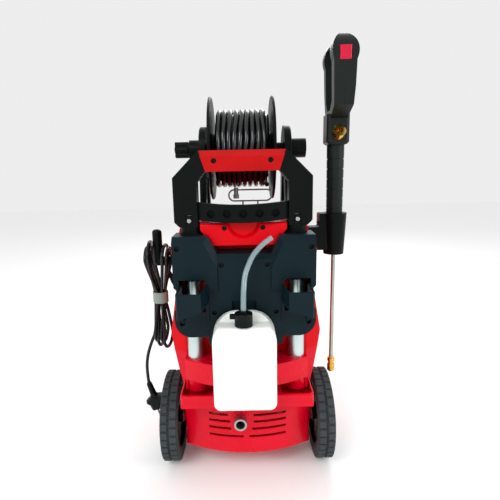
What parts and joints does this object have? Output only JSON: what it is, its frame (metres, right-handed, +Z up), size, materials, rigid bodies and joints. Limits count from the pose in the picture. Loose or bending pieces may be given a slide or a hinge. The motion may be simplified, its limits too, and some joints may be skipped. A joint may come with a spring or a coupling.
{
  "type": "pressure washer",
  "caption": "Upright wheeled pressure washer with a telescopic handle, hose reel, holstered spray gun, detergent bottle, accessory pockets and a coiled mains cord.",
  "frame": {"origin": "on the floor under the middle of the front rest foot", "axes": "+X to the right as seen from behind, +Y towards the front, +Z up"},
  "size_m": [0.4131, 0.399, 0.825],
  "materials": {
    "red_casing": "satin, fine grain",
    "red_grip": "satin",
    "black_panel": "satin, fine grain",
    "black_frame": "satin",
    "tube_metal": "brushed, satin",
    "inner_metal": "brushed",
    "steel": "satin",
    "screw_black": "black coating",
    "tyre_black": "moulded tread",
    "wheel_black": "satin",
    "motor_grey": "cast",
    "pump_grey": "cast",
    "hose_rubber": "glossy jacket",
    "gun_grey": "satin",
    "lance_metal": "satin",
    "brass": "polished",
    "red_button": "gloss",
    "bottle_white": "slightly translucent",
    "cap_black": "satin",
    "clear_hose": "clear flexible tube",
    "cord_rubber": "semi-gloss jacket",
    "tie_grey": "matt",
    "plug_black": "satin"
  },
  "bodies": {
    "machine": {"base_shell": "red_casing", "front_shell": "red_casing", "rear_cover": "red_casing", "housing_screws": "screw_black", "rear_tray": "red_casing", "rear_panel": "black_panel", "outer_tube_left": "tube_metal", "outer_tube_right": "tube_metal", "collar_left": "black_frame", "collar_right": "black_frame", "reel_support_left": "black_frame", "reel_support_right": "black_frame", "hose_guide": "steel", "axle": "steel", "axle_clips": "wheel_black", "front_foot": "black_frame", "motor": "motor_grey", "pump": "pump_grey", "water_inlet": "steel", "switch_box": "plug_black", "holster": "black_frame", "cord_hook": "black_frame", "cord_gland": "cord_rubber", "cord_lead": "cord_rubber", "cord_hank": "cord_rubber", "hank_tie": "tie_grey", "cord_tail": "cord_rubber", "plug": "plug_black"},
    "handle": {"handle_frame": "black_frame", "grip_cover": "red_grip", "grip_screws": "screw_black", "inner_tube_left": "inner_metal", "inner_tube_right": "inner_metal"},
    "detent_left": {"detent_button_left": "steel"},
    "detent_right": {"detent_button_right": "steel"},
    "reel": {"reel_drum": "black_frame", "reel_flange_left": "black_frame", "reel_flange_right": "black_frame", "hose_coil": "hose_rubber", "hose_end": "steel", "crank_arm": "black_frame"},
    "crank_knob": {"crank_knob": "black_frame"},
    "reel_lock": {"reel_lock_knob": "black_frame"},
    "wheel_left": {"wheel_left": "wheel_black", "tyre_left": "tyre_black"},
    "wheel_right": {"wheel_right": "wheel_black", "tyre_right": "tyre_black"},
    "gun": {"gun_shell_left": "gun_grey", "gun_shell_right": "gun_grey", "gun_inlet": "brass", "barrel_sleeve": "gun_grey", "lance_tube": "lance_metal", "lance_coupler": "brass"},
    "trigger": {"gun_trigger": "gun_grey"},
    "gun_lock": {"gun_lock_button": "red_button"},
    "coupler_collar": {"coupler_collar": "brass"},
    "bottle": {"bottle": "bottle_white", "suction_tube": "clear_hose"},
    "bottle_cap": {"bottle_cap": "cap_black"},
    "power_switch": {"power_switch": "black_frame"}
  },
  "joints": [
    {"name": "handle_slide", "type": "slide", "parent": "machine", "child": "handle", "axis": [0, 0, 1], "range_m": [0, 0.25]},
    {"name": "detent_left_push", "type": "slide", "parent": "machine", "child": "detent_left", "axis": [0, 1, 0], "range_m": [0, 0.003], "stiffness_N_per_m": 500, "springref_m": -0.002},
    {"name": "detent_right_push", "type": "slide", "parent": "machine", "child": "detent_right", "axis": [0, 1, 0], "range_m": [0, 0.003], "stiffness_N_per_m": 500, "springref_m": -0.002},
    {"name": "reel_spin", "type": "hinge", "parent": "machine", "child": "reel", "pos_m": [0, -0.1, 0.64], "axis": [1, 0, 0], "continuous": true},
    {"name": "crank_knob_fold", "type": "hinge", "parent": "reel", "child": "crank_knob", "pos_m": [0.126, -0.038, 0.64], "axis": [0, 0, 1], "range_deg": [0, 90]},
    {"name": "reel_lock_turn", "type": "hinge", "parent": "machine", "child": "reel_lock", "pos_m": [-0.108, -0.1, 0.64], "axis": [1, 0, 0], "range_deg": [0, 180]},
    {"name": "wheel_left_spin", "type": "hinge", "parent": "machine", "child": "wheel_left", "pos_m": [-0.154, -0.175, 0.09], "axis": [1, 0, 0], "continuous": true},
    {"name": "wheel_right_spin", "type": "hinge", "parent": "machine", "child": "wheel_right", "pos_m": [0.154, -0.175, 0.09], "axis": [1, 0, 0], "continuous": true},
    {"name": "gun_lift", "type": "slide", "parent": "machine", "child": "gun", "axis": [0, 0, 1], "range_m": [0, 0.335]},
    {"name": "trigger_pull", "type": "hinge", "parent": "gun", "child": "trigger", "pos_m": [0.176, -0.205, 0.704], "axis": [1, 0, 0], "range_deg": [0, 13], "stiffness_Nm_per_rad": 0.6, "springref_deg": -11.46},
    {"name": "gun_lock_push", "type": "slide", "parent": "gun", "child": "gun_lock", "axis": [0, 1, 0], "range_m": [0, 0.003], "stiffness_N_per_m": 400, "springref_m": -0.003},
    {"name": "coupler_collar_slide", "type": "slide", "parent": "gun", "child": "coupler_collar", "axis": [0, 0, 1], "range_m": [0, 0.005], "stiffness_N_per_m": 400, "springref_m": -0.003},
    {"name": "bottle_pull", "type": "slide", "parent": "machine", "child": "bottle", "axis": [0, -1, 0], "range_m": [0, 0.15]},
    {"name": "bottle_cap_turn", "type": "hinge", "parent": "bottle", "child": "bottle_cap", "pos_m": [-0.003, -0.324, 0.36], "axis": [0, 0, 1], "range_deg": [0, 180]},
    {"name": "power_switch_turn", "type": "hinge", "parent": "machine", "child": "power_switch", "pos_m": [0, 0.04, 0.3], "axis": [0, 1, 0], "range_deg": [0, 90]}
  ]
}
